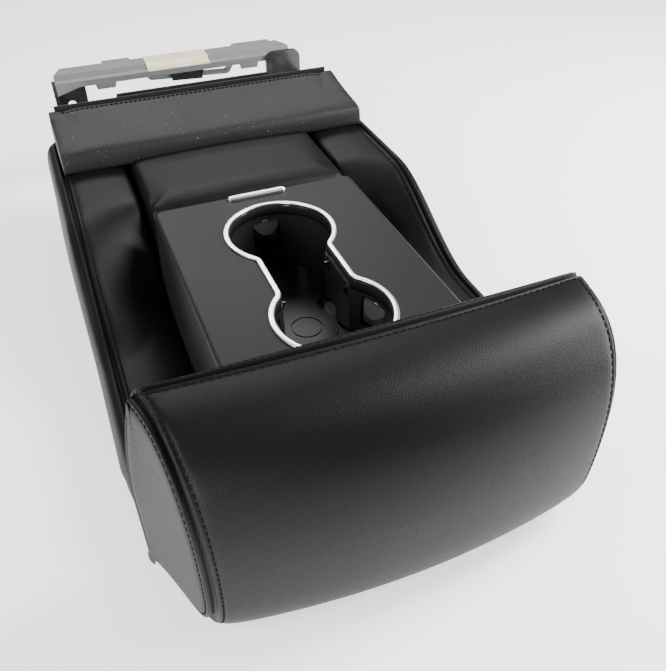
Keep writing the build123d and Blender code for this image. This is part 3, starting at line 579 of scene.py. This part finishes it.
def stitches(name, rows, body):
    """Rows of thread dashes. Each row is a path of points with its normals.

    A dash is a six-sided bar along the row, thinner at its ends, half sunk in the leather.
    """
    pitch = sizes().stitch_pitch * MM
    half = sizes().stitch_length * MM / 2
    radius = sizes().thread * MM / 2
    ends = np.array([-1.0, -0.72, 0.72, 1.0])
    girth = np.array([0.35, 1.0, 1.0, 0.35])
    turn = np.arange(6) * pi / 3
    bars = []
    for path, normals in rows:
        run = np.concatenate([[0], np.cumsum(np.linalg.norm(np.diff(path, axis=0), axis=1))])
        middle = np.arange(pitch * 0.5, run[-1], pitch)
        centre = np.stack([np.interp(middle, run, path[:, axis]) for axis in range(3)], 1)
        ahead = np.stack([np.interp(middle + half, run, path[:, axis]) for axis in range(3)], 1)
        behind = np.stack([np.interp(middle - half, run, path[:, axis]) for axis in range(3)], 1)
        up = np.stack([np.interp(middle, run, normals[:, axis]) for axis in range(3)], 1)
        way = ahead - behind
        way /= np.linalg.norm(way, axis=1, keepdims=True)
        up -= way * (up * way).sum(1, keepdims=True)
        up /= np.linalg.norm(up, axis=1, keepdims=True)
        side = np.cross(way, up)
        centre = centre + up * radius * 0.6
        lengthwise = way[:, None, None] * (ends * half)[None, :, None, None]
        crosswise = side[:, None, None] * np.cos(turn)[None, None, :, None]
        crosswise = crosswise + up[:, None, None] * np.sin(turn)[None, None, :, None]
        bars.append(centre[:, None, None] + lengthwise + crosswise * (girth * radius)[None, :, None, None])
    points = np.concatenate(bars)
    bar_rings, bar_sides = len(ends), len(turn)
    base = np.arange(len(points))[:, None, None] * bar_rings * bar_sides
    sides = (base + grid_quads(bar_rings, bar_sides)[None]).reshape(-1, 4)
    tip = np.arange(bar_sides)
    tips = np.stack([tip[::-1], (bar_rings - 1) * bar_sides + tip])
    caps = (base + tips[None]).reshape(-1, bar_sides)
    piece = put_mesh(name, points.reshape(-1, 3), sides.tolist() + caps.tolist(), "thread")
    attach(piece, body)
    return piece


# Bolster

PANEL_DEPTH = 90.0  # end panel from front to rear
FRONT_HALF = 129.0  # half width at the front
REAR_HALF = 157.0  # half width at the foot of the rear
BELLY = 70.0  # height at which the front stands furthest forward
MIDDLE_COLUMNS = 53


def bolster_profile():
    """Side outline of the bolster at its middle, from the foot of its rear face forwards and over the top.

    Bezier curves from the toe to the belly and on to the crest, a rolled rear edge and a flat rear face.
    """
    height, length = BOLSTER_HIGH[2], BOLSTER_HIGH[1]
    roll, crest = 9.0, 60
    edge = (length - roll, height - 1.5)
    return np.concatenate([
        [[length, 1.0]],
        bezier((40, 0.5), (4, 0.8), (0, 26), (0, BELLY)),
        bezier((0, BELLY), (0, 125), (13, height), (crest, height - 0.5))[1:],
        bezier((crest, height - 0.5), (72, height - 0.5), (76, height - 1.0), edge)[1:],
        bezier(edge, (length - 0.5, height - 2), (length - 0.3, height - roll - 2))[1:],
        [[length - 0.3, 20.0]],
    ])


def bolster_half(station, height):
    """Half width of the bolster: wider to the rear, and leaning in towards its top by a parabola."""
    back = station / PANEL_DEPTH
    lean = 14.0 * (np.maximum(height - BELLY, 0) / 90.0) ** 2 * back
    return FRONT_HALF + (REAR_HALF - FRONT_HALF) * back - lean


def set_back(x, station):
    """How far the front lies further back at x than in the middle: a parabola that fades to the rear."""
    return 20.0 * (x / REAR_HALF) ** 2 * (1 - (station / PANEL_DEPTH) ** 2)


def panel_half(points):
    """Half width at points of an end panel, given as station and height where they lie in the end."""
    before = np.linspace(0, PANEL_DEPTH + 5, 40)
    after = before + set_back(bolster_half(before, 0), before)
    return bolster_half(np.interp(points[..., 0], after, before), points[..., 1])


def loop_inward(loop):
    """Unit vectors square to a closed loop in its plane, to the inside."""
    run = np.roll(loop, -1, axis=0) - np.roll(loop, 1, axis=0)
    square = np.stack([run[:, 1], -run[:, 0]], 1) / np.linalg.norm(run, axis=1, keepdims=True)
    outside = ((loop.mean(axis=0) - loop) * square).sum() < 0
    return -square if outside else square


def edge_round(distance, radius=10.0):
    """A rounded edge with the seam in the middle of its arc.

    For distances from the seam over the surface: how far a point lies from the sharp edge along the face,
    and how deep under it.
    """
    angle = np.maximum(pi / 4 - distance / radius, 0)
    beyond = np.maximum(distance - radius * pi / 4, 0)
    return radius * (1 - np.sin(angle)) + beyond, radius * (1 - np.cos(angle))


def end_panel(sign, outline, inward, along_edge, into_edge):
    """Rings of one end panel: rows along the rounded edge, then shares of the way to the middle."""
    flat = [outline + inward * aside for aside in along_edge[1:]]
    shares = np.linspace(0, 1, 10)[1:-1, None, None]
    flat = np.concatenate([flat, flat[-1] + (flat[-1].mean(axis=0) - flat[-1]) * shares])
    sinks = np.concatenate([into_edge[1:], np.zeros(len(shares))])[:, None]
    return np.concatenate([sign * (panel_half(flat) - sinks)[:, :, None], flat], axis=-1)


def bolster_rings():
    """Profile loops carried across, with the last loops in the end panels.

    The front is set back towards the ends by a parabola, and the bottom rises there in round corners.
    Also returns the distances from the seams, the rings of an end panel and the places from the top seam.
    """
    profile = bolster_profile()
    closed = np.concatenate([profile, profile[:1]])
    top_seam = abs(closed - np.array([79.0, BOLSTER_HIGH[2]])).sum(axis=1)
    seam_at = path_length(closed[: np.argmin(top_seam) + 1])
    positions = spaced(path_length(closed), 4.6, [seam_at])[:-1]
    loop = along(closed, positions)
    half = bolster_half(loop[:, 0], loop[:, 1])
    inward = loop_inward(loop)
    along_edge, into_edge = edge_round(np.array(CLOSE))
    middle = half - along_edge[-1] - 5.0
    columns = [-(half - distance) for distance in along_edge]
    columns += [middle * share for share in np.linspace(-1, 1, MIDDLE_COLUMNS)]
    columns += [half - distance for distance in along_edge[::-1]]
    x = np.array(columns)
    sunk = np.concatenate([into_edge, np.zeros(MIDDLE_COLUMNS), into_edge[::-1]])[:, None]
    corner_from, corner_round = 104.0, 45.0
    corner = np.clip(abs(x) - corner_from, 0, corner_round - 0.1)
    rise = (corner_round - np.sqrt(corner_round**2 - corner**2)) * (1 - 0.95 * loop[:, 0] / PANEL_DEPTH)
    fade = np.clip(1 - loop[:, 1] / 80.0, 0, 1) ** 2
    station = loop[:, 0] + set_back(x, loop[:, 0]) + inward[:, 0] * sunk
    height = loop[:, 1] + rise * fade + inward[:, 1] * sunk
    rings = np.stack([x, station, height], -1)
    left, right = (
        end_panel(sign, edge[:, 1:] - inward * into_edge[0], inward, along_edge, into_edge)
        for sign, edge in ((-1, rings[0]), (1, rings[-1]))
    )
    from_end = np.concatenate([CLOSE, np.full(MIDDLE_COLUMNS, FAR), CLOSE[::-1]])[:, None]
    seam_distance = np.minimum(from_end, abs(positions - seam_at))
    distances = np.concatenate([CLOSE[1:], np.full(len(left) - len(CLOSE) + 1, FAR)])
    side = np.broadcast_to(distances[:, None], (len(left), len(loop)))
    all_rings = np.concatenate([left[::-1], rings, right])
    all_distance = np.concatenate([side[::-1], seam_distance, side])
    return all_rings, all_distance, len(left), positions - seam_at


class ARMREST_OT_bolster(bpy.types.Operator):
    """Front bolster with its end seams, top seam and double stitching"""

    bl_idname = "armrest.bolster"
    bl_label = "Bolster"

    def execute(self, context):
        rings, distance, cap_count, from_top_seam = bolster_rings()
        station, height = rings[:, :, 1], rings[:, :, 2]
        backed = (station > PANEL_DEPTH - 4) | (height < 3)
        pins = backed | (distance < SEWN)
        pins[:cap_count] = pins[-cap_count:] = True
        groove = np.where(backed & (height < BOLSTER_HIGH[2] - 9), 0, seam_dip(distance))
        piece, grid, normals = cushion("bolster_cushion", to_metres(rings), pins, groove)
        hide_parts("bolster")
        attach(piece, "armrest")
        shown = (station < PANEL_DEPTH - 10) & (height > 14)
        rows = []
        first, last = cap_count, len(rings) - cap_count - 1
        for seam, inward in ((first, 1), (last, -1)):
            for step in (STITCH_ROW * inward, -STITCH_ROW * inward):
                keep = np.flatnonzero(shown[seam + step])
                rows.append((grid[seam + step][keep], normals[seam + step][keep]))
        inside = slice(first + STITCH_ROW, last - STITCH_ROW + 1)
        for offset in (-CLOSE[STITCH_ROW], CLOSE[STITCH_ROW]):
            column = int(np.argmin(abs(from_top_seam - offset)))
            rows.append((grid[inside, column], normals[inside, column]))
        stitches("bolster_stitches", rows, "armrest")
        return {"FINISHED"}


# Wings


def smooth_step(station, low, high, middle, length):
    """Low before the step, high after it, and a smooth cubic between."""
    part = np.clip((station - middle) / length + 0.5, 0, 1)
    return low + (high - low) * part * part * (3 - 2 * part)


def body_half(station):
    """Half width of the padded body: narrow at the front, round at the rear corners."""
    corner_round = 20.0
    narrow = 8.0 * np.maximum(1 - (station - PAD_LOW[1]) / 45.0, 0)
    corner = np.clip(station - PAD_HIGH[1] + corner_round, 0, corner_round)
    return REAR_HALF - narrow - corner_round + np.sqrt(corner_round**2 - corner**2)


def wing_rings(sign):
    """Cross sections along the body: foot, side, round shoulder, then the seam and a slope into the valley.

    Outside the seam the section follows a quarter circle, and inside it a shallow arch to the box. Also
    returns the distances from the seam and the seam's place in the loop.
    """
    low, high = WING_LOW_BOX[1] + 0.3, WING_HIGH_BOX[1]
    stations = spaced(high - low, 4.8) + low
    outer = body_half(stations)
    seam = smooth_step(stations, 60.0, 109.0, 288.0, 140.0)
    valley = smooth_step(stations, 46.0, 108.5, 326.0, 90.0)
    foot = WING_LOW_BOX[2] + 0.2
    inner = WING_LOW_BOX[0]
    shoulder, lip, arch = 12.0, 4.0, 1.5
    crest = outer - shoulder
    width = crest - inner - lip

    def slope(share):
        """Height between the seam and the valley: a power curve with an arch on it."""
        return seam - (seam - valley) * share**1.15 + arch * np.sin(pi * np.clip(share, 0, 1))

    sections = []
    distances = []
    for share in np.linspace(0, 1, 8):
        sections.append((inner + (outer - inner) * share, np.full_like(outer, foot)))
        distances.append(FAR)
    for share in np.linspace(0, 1, 10)[1:]:
        sections.append((outer + 1.2 * sin(pi * share), foot + (seam - shoulder - foot) * share))
        distances.append(FAR)
    for distance in (shoulder, *CLOSE[:0:-1], 0.0):
        angle = pi / 2 - distance / shoulder
        sections.append((crest + shoulder * cos(angle), seam - shoulder + shoulder * sin(angle)))
        distances.append(distance)
    for distance in (*CLOSE[1:], shoulder):
        sections.append((crest - distance, slope(distance / width)))
        distances.append(distance)
    for part in np.linspace(0, 1, 9)[1:]:
        share = shoulder / width + (1 - shoulder / width) * part
        sections.append((crest - share * width, slope(share)))
        distances.append(FAR)
    for part in (0.4, 1.0):
        sections.append((np.full_like(outer, inner + lip * (1 - part) + 0.2), valley - lip * part))
        distances.append(FAR)
    for part in np.linspace(0, 1, 5)[1:-1]:
        sections.append((np.full_like(outer, inner + 0.2), valley - lip - (valley - lip - foot) * part))
        distances.append(FAR)
    end_count = 4
    rings = with_ends(section_rings(stations, sections) * np.array([sign, 1, 1]), 3.0, end_count)
    distance = np.full(rings.shape[:2], FAR)
    distance[end_count:-end_count] = distances
    return rings, distance, int(np.argmin(distances))


class ARMREST_OT_wings(bpy.types.Operator):
    """Side wings, each with a double stitched seam along its shoulder"""

    bl_idname = "armrest.wings"
    bl_label = "Wings"

    def execute(self, context):
        for side, sign in (("left", -1), ("right", 1)):
            rings, distance, seam = wing_rings(sign)
            x, station, height = abs(rings[:, :, 0]), rings[:, :, 1], rings[:, :, 2]
            backed = (height < WING_LOW_BOX[2] + 1) | (x < WING_LOW_BOX[0] + 1)
            backed |= (station < WING_LOW_BOX[1] + 1) | (station > WING_HIGH_BOX[1] - 1)
            backed |= (station > FLAP_LOW[1] - 4) & (height > 90)
            pins = backed | (distance < SEWN)
            piece, grid, normals = cushion(
                f"wing_cushion_{side}", to_metres(rings), pins, seam_dip(distance), cap=3.0
            )
            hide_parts(f"wing_{side}")
            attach(piece, "armrest")
            open_run = np.flatnonzero((station[:, seam] > 95) & (station[:, seam] < FLAP_LOW[1] + 2))
            columns = (seam - STITCH_ROW, seam + STITCH_ROW)
            rows = [(grid[open_run, column], normals[open_run, column]) for column in columns]
            stitches(f"wing_stitches_{side}", rows, "armrest")
        return {"FINISHED"}


# Underside, rear pad and flap


def underside_rings():
    """Cross sections along the body: a flat top, round edges below and a flat bottom.

    The ends are rounded the same way: the bottom of the last sections is lifted along a quarter circle.
    """
    low, high = PAD_LOW[1] + 0.2, PAD_HIGH[1]
    stations = spaced(high - low, 6.0) + low
    top, edge = PAD_HIGH[2], 24.0
    turn = np.linspace(0, pi / 2, 9)
    half = body_half(stations)
    end = np.minimum(stations - low, high - stations)
    lift = edge - np.sqrt(np.maximum(edge**2 - np.maximum(edge - end, 0) ** 2, 0))
    points = []
    for share in np.linspace(-1, 1, 24):
        points.append((half * share, np.full_like(half, top)))
    points.append((half, np.full_like(half, (top + edge) / 2)))
    for angle in turn:
        points.append((half - edge + edge * cos(angle), np.maximum(edge - edge * sin(angle), lift)))
    for share in np.linspace(1, -1, 44)[1:-1]:
        points.append(((half - edge) * share, lift + 0.4))
    for angle in turn[::-1]:
        points.append((-half + edge - edge * cos(angle), np.maximum(edge - edge * sin(angle), lift)))
    points.append((-half, np.full_like(half, (top + edge) / 2)))
    return with_ends(section_rings(stations, points), 2.0, 3)


class ARMREST_OT_underside(bpy.types.Operator):
    """Padded underside, the face that shows when the armrest is folded up"""

    bl_idname = "armrest.underside"
    bl_label = "Underside"

    def execute(self, context):
        rings = underside_rings()
        x, station, height = abs(rings[:, :, 0]), rings[:, :, 1], rings[:, :, 2]
        half, front, rear = 118.0, 128.0, 482.0
        beside = abs(x - half)
        across = np.minimum(abs(station - front), abs(station - rear))
        line = np.where(x < half, np.minimum(beside, across), np.where(across < 3, FAR, beside))
        line = np.where((station < front) | (station > rear), np.where(x < half, across, FAR), line)
        dip = np.where(height < 6, 1.8 * MM * np.exp(-((line / 3.2) ** 2)), 0)
        backed = (height > PAD_HIGH[2] - 2) | (height < 1.0)
        piece, _, _ = cushion("underside_cushion", to_metres(rings), backed, dip, cap=2.0)
        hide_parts("underside_pad")
        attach(piece, "armrest")
        return {"FINISHED"}


def rear_pad_rings():
    """Cross sections from the cup plate rearwards: a block with round top edges, crowned in the middle.

    Its front rises from the plate in a quarter ellipse, and it drops to the wings' height under the flap.
    """
    low, high = REAR_LOW[1], REAR_HIGH[1]
    stations = spaced(high - low, 4.5, [FLAP_LOW[1] - low - 1.0], (0, 0.8, 1.6)) + low
    half, base = REAR_HIGH[0] - 0.2, REAR_LOW[2] + 0.2
    nose_length, nose_height = 14.0, 15.0
    into = np.clip((stations - low) / nose_length, 0, 1)
    crown = REAR_HIGH[2] - 1.0 - nose_height * (1 - np.sqrt(np.maximum(1 - (1 - into) ** 2, 0)))
    top = np.where(stations < FLAP_LOW[1] - 0.5, crown, WING_HIGH_BOX[2] - 0.6)
    pinch = 3.0 * (1 - into) ** 2
    wide = half - pinch
    edge = 7.0
    points = []
    for share in np.linspace(-1, 1, 14):
        points.append((wide * share, np.full_like(wide, base)))
    for share in np.linspace(0, 1, 8)[1:]:
        points.append((wide, base + (top - edge - base) * share))
    for angle in np.linspace(0, pi / 2, 6)[1:]:
        points.append((wide - edge + edge * cos(angle), top - edge + edge * sin(angle)))
    for share in np.linspace(1, -1, 30)[1:-1]:
        points.append(((wide - edge) * share, top + 1.6 * (1 - share**2)))
    for angle in np.linspace(pi / 2, 0, 6)[:-1]:
        points.append((-wide + edge - edge * cos(angle), top - edge + edge * sin(angle)))
    for share in np.linspace(1, 0, 8)[:-1]:
        points.append((-wide, base + (top - edge - base) * share))
    return with_ends(section_rings(stations, points), 2.0, 4)


class ARMREST_OT_rear_pad(bpy.types.Operator):
    """Padded block behind the cup plate"""

    bl_idname = "armrest.rear_pad"
    bl_label = "Rear pad"

    def execute(self, context):
        rings = rear_pad_rings()
        station, height = rings[:, :, 1], rings[:, :, 2]
        backed = (height < 90) | (station > FLAP_LOW[1] - 8) | (station < REAR_LOW[1] + 1)
        piece, _, _ = cushion("rear_pad_cushion", to_metres(rings), backed, np.zeros(backed.shape), cap=2.5)
        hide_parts("rear_pad")
        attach(piece, "armrest")
        return {"FINISHED"}


def flap_rings():
    """Profile loops carried across: low front edge, round nose, a top that rises to the rear, a flat bottom.

    The top sags a little in the middle, and near the rear corners it is pinched into a small fold.
    """
    low, high = FLAP_LOW, FLAP_HIGH
    front, rear = low[1], high[1]
    nose = (front + 8, 128.6)
    profile = np.concatenate([
        [[rear - 0.2, low[2] + 0.2], [front + 1.0, low[2] + 0.2]],
        bezier((front + 0.5, low[2] + 1), (front, 124), (front + 0.5, 127), nose, count=12),
        bezier(nose, ((front + rear) / 2, 132.5), (rear - 3, high[2]), count=18)[1:],
        [[rear - 0.2, high[2] - 1.5]],
    ])
    closed = np.concatenate([profile, profile[:1]])
    loop = along(closed, spaced(path_length(closed), 4.0)[:-1])
    half, hem = high[0] - 0.3, 6.0
    hem_columns = np.linspace(half - hem, half, 4)[1:]
    x = np.concatenate([-hem_columns[::-1], np.linspace(hem - half, half - hem, 64), hem_columns])
    x = np.repeat(x[:, None], len(loop), axis=1)
    station = np.broadcast_to(loop[:, 0], x.shape)
    height = np.broadcast_to(loop[:, 1], x.shape).copy()
    raised = np.clip((height - low[2]) / 18.0, 0, 1)
    back = (station - front) / (rear - front)
    height -= raised * np.cos(x / half * pi / 2) * np.sin(pi * back)
    fold_at = half - 12 - 18 * (1 - back)
    fold = np.exp(-(((abs(x) - fold_at) / 3.0) ** 2)) * np.clip(back * 1.8 - 0.8, 0, 1)
    height -= raised * 2.2 * fold
    return with_ends(np.stack([x, station, height], -1), 1.5, 5, rise=(0.2, 0, 0))


class ARMREST_OT_flap(bpy.types.Operator):
    """Vinyl flap that closes the gap to the seat back"""

    bl_idname = "armrest.flap"
    bl_label = "Flap"

    def execute(self, context):
        rings = flap_rings()
        station, height = rings[:, :, 1], rings[:, :, 2]
        backed = (height < FLAP_LOW[2] + 3) | (station > FLAP_HIGH[1] - 3)
        piece, grid, normals = cushion(
            "flap_cover", to_metres(rings), backed, np.zeros(backed.shape), finish="vinyl", cap=0.7
        )
        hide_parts("closeout_flap")
        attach(piece, "armrest")
        row_station = FLAP_HIGH[1] - 8.0
        middle = len(rings) // 2
        top = np.flatnonzero((height[middle] > 126) & (station[middle] < FLAP_HIGH[1] - 1))
        column = top[np.argmin(abs(station[middle][top] - row_station))]
        inside = slice(9, len(rings) - 9)
        stitches("flap_stitches", [(grid[inside, column], normals[inside, column])], "armrest")
        return {"FINISHED"}


# Cup rim


def cup_path(grow):
    """The cup opening grown by grow, as x and station in millimetres.

    Two cup arcs, four inner corner arcs and the straight neck. Corner centres stay put, so every grown
    outline has the same points in step.
    """
    low, high = node_mm("cup_trim_ring")
    trim, cup, neck, corner = 4.0, 40.0, 26.0, 12.0
    rear, front = high[1] - trim - cup, low[1] + trim + cup
    across = neck + corner
    lengthwise = np.sqrt((cup + corner) ** 2 - across**2)
    meet = np.arctan2(lengthwise, across)
    outline = []
    for sign, this_cup, other_cup in ((1, rear, front), (-1, front, rear)):
        for x, station, radius, start, end, count in (
            (0, this_cup, cup + grow, -meet, pi + meet, 72),
            (-across, this_cup - sign * lengthwise, corner - grow, meet, 0, 12),
            (-across, other_cup + sign * lengthwise, corner - grow, 0, -meet, 12),
        ):
            turn = np.linspace(start, end, count)[:-1]
            arc = (sign * (x + radius * np.cos(turn)), station + sign * radius * np.sin(turn))
            outline.append(np.stack(arc, 1))
    return np.concatenate(outline)


def rim_piece(name, profile, finish):
    """A closed profile of grow and height carried round the cup opening."""
    rows = []
    for grow, height in profile:
        path = cup_path(grow)
        rows.append(np.column_stack([path, np.full(len(path), height)]))
    quads = grid_quads(len(rows), len(rows[0]), joined=True)
    points = to_metres(np.concatenate(rows))
    if volume_sign(points, quads) < 0:
        quads = quads[:, ::-1]
    piece = put_mesh(name, points, quads.tolist(), finish)
    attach(piece, "armrest")
    return piece


class ARMREST_OT_cup_rim(bpy.types.Operator):
    """Bright ring round the cups and the glossy band below it"""

    bl_idname = "armrest.cup_rim"
    bl_label = "Cup rim"

    def execute(self, context):
        low, high = node_mm("cup_trim_ring")
        base, top = low[2], high[2]
        shoulder = base + 0.75
        dome = [
            (2.0 - 1.95 * cos(angle), shoulder + (top - shoulder) * max(sin(angle), 0) ** 0.3)
            for angle in np.linspace(0, pi, 13)
        ]
        ring = rim_piece("bright_ring", [(0.05, base + 0.02), *dome, (3.95, base + 0.02)], "trim")
        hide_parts("cup_trim_ring")
        foot = base - 8.8
        strip = [(-0.35, foot), (-0.35, base - 0.4), (-0.06, base - 0.1), (-0.06, foot)]
        band = rim_piece("rim_band", strip, "bin")
        return {"FINISHED"}


# Finishes of the hard pieces

NODE_FINISHES = {
    "plate": ["cup_bezel"],
    "trim": ["release_button"],
    "bin": ["cup_bin"],
    "mat": ["cup_mat"],
    "grip": [f"cup_grip_{number}" for number in range(1, 7)],
    "black": ["flap_strip", "button_guide", "strap_clip"],
    "paint": ["frame_pan", "lug_left", "lug_right", "arm_left", "arm_right"],
    "beam": ["hinge_beam"],
    "tape": ["foam_tape"],
    "bush": ["pivot_bush_left", "pivot_bush_right"],
    "zinc": ["grip_pins", "grip_springs", "bin_screws", "button_spring", "strap_loop"],
}
for end in ("left", "right"):
    bolting = ("stop_pin", "pivot_washer", "pivot_bolt", "pivot_nut")
    NODE_FINISHES["zinc"] += [f"{piece}_{end}" for piece in bolting]


class ARMREST_OT_hard_finishes(bpy.types.Operator):
    """Materials of the plastic, rubber and steel pieces"""

    bl_idname = "armrest.hard_finishes"
    bl_label = "Hard finishes"

    def execute(self, context):
        for key, names in NODE_FINISHES.items():
            for name in names:
                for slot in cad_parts[name].material_slots:
                    slot.material = finish_of(key)
        return {"FINISHED"}


# Stage


def soft_light(name, place, target, size, power):
    """A rectangular area light that faces a point."""
    light = bpy.data.lights.new(name, "AREA")
    light.shape = "RECTANGLE"
    light.size, light.size_y = size
    light.energy = power
    holder = bpy.data.objects.new(name, light)
    holder.location = place
    holder.rotation_euler = (Vector(target) - Vector(place)).to_track_quat("-Z", "Y").to_euler()
    bpy.context.scene.collection.objects.link(holder)


class ARMREST_OT_stage(bpy.types.Operator):
    """White floor, soft studio lights and the camera at the photograph's angle"""

    bl_idname = "armrest.stage"
    bl_label = "Stage"

    def execute(self, context):
        finish = Finish("white_floor")
        finish.set(Base_Color=(0.95, 0.95, 0.95), Roughness=0.9, Specular_IOR_Level=0.1)
        finish.set(Emission_Color=(1, 1, 1), Emission_Strength=0.9)
        edge, level = 6.0, -0.0005
        corners = [(-edge, -edge, level), (edge, -edge, level), (edge, edge, level), (-edge, edge, level)]
        mesh = bpy.data.meshes.new("floor")
        mesh.from_pydata(corners, [], [(0, 1, 2, 3)])
        mesh.materials.append(finish.material)
        floor = bpy.data.objects.new("floor", mesh)
        context.scene.collection.objects.link(floor)
        world = bpy.data.worlds.new("studio")
        world.use_nodes = True
        sky = world.node_tree.nodes["Background"]
        sky.inputs["Color"].default_value = (1, 1, 1, 1)
        sky.inputs["Strength"].default_value = 0.2
        context.scene.world = world
        soft_light("left_softbox", (-1.1, -0.35, 0.75), (0, -0.15, 0.08), (0.5, 0.9), 18)
        soft_light("right_softbox", (1.0, -0.2, 0.9), (0.1, -0.1, 0.1), (0.35, 1.0), 40)
        soft_light("rear_softbox", (0.1, 1.3, 1.2), (0, 0, 0.1), (1.4, 0.5), 18)
        soft_light("low_right_strip", (1.25, -0.65, 0.42), (0.12, -0.28, 0.1), (0.25, 0.6), 22)
        soft_light("low_left_strip", (-0.85, -1.35, 0.4), (-0.12, -0.3, 0.1), (0.25, 0.5), 16)
        camera = bpy.data.cameras.new("photo_camera")
        camera.sensor_width = 36.0
        camera.lens = 38.36
        camera.clip_start = 0.01
        holder = bpy.data.objects.new("photo_camera", camera)
        holder.location = (-0.1426, -0.5157, 0.4173)
        holder.rotation_euler = (radians(90 - 40.5), 0, radians(-22.3))
        context.scene.collection.objects.link(holder)
        context.scene.camera = holder
        return {"FINISHED"}


class ARMREST_PT_sidebar(bpy.types.Panel):
    """Lists the armrest's operators and settings"""

    bl_label = "Armrest"
    bl_space_type = "VIEW_3D"
    bl_region_type = "UI"
    bl_category = "Armrest"

    def draw(self, context):
        for operator in OPERATORS:
            self.layout.operator(operator.bl_idname)
        for group in (context.scene.armrest_sizes, context.scene.armrest_colours):
            for name in group.__annotations__:
                self.layout.prop(group, name)


OPERATORS = (
    ARMREST_OT_bolster,
    ARMREST_OT_wings,
    ARMREST_OT_underside,
    ARMREST_OT_rear_pad,
    ARMREST_OT_flap,
    ARMREST_OT_cup_rim,
    ARMREST_OT_hard_finishes,
    ARMREST_OT_stage,
)
CLASSES = (ArmrestSizes, ArmrestColours, *OPERATORS, ARMREST_PT_sidebar)


def register():
    for item in CLASSES:
        bpy.utils.register_class(item)
    bpy.types.Scene.armrest_sizes = bpy.props.PointerProperty(type=ArmrestSizes)
    bpy.types.Scene.armrest_colours = bpy.props.PointerProperty(type=ArmrestColours)


def unregister():
    del bpy.types.Scene.armrest_colours
    del bpy.types.Scene.armrest_sizes
    for item in reversed(CLASSES):
        bpy.utils.unregister_class(item)


def main():
    register()
    bpy.ops.armrest.bolster()
    bpy.ops.armrest.wings()
    bpy.ops.armrest.underside()
    bpy.ops.armrest.rear_pad()
    bpy.ops.armrest.flap()
    bpy.ops.armrest.cup_rim()
    bpy.ops.armrest.hard_finishes()
    bpy.ops.armrest.stage()


if __name__ == "__main__":
    main()
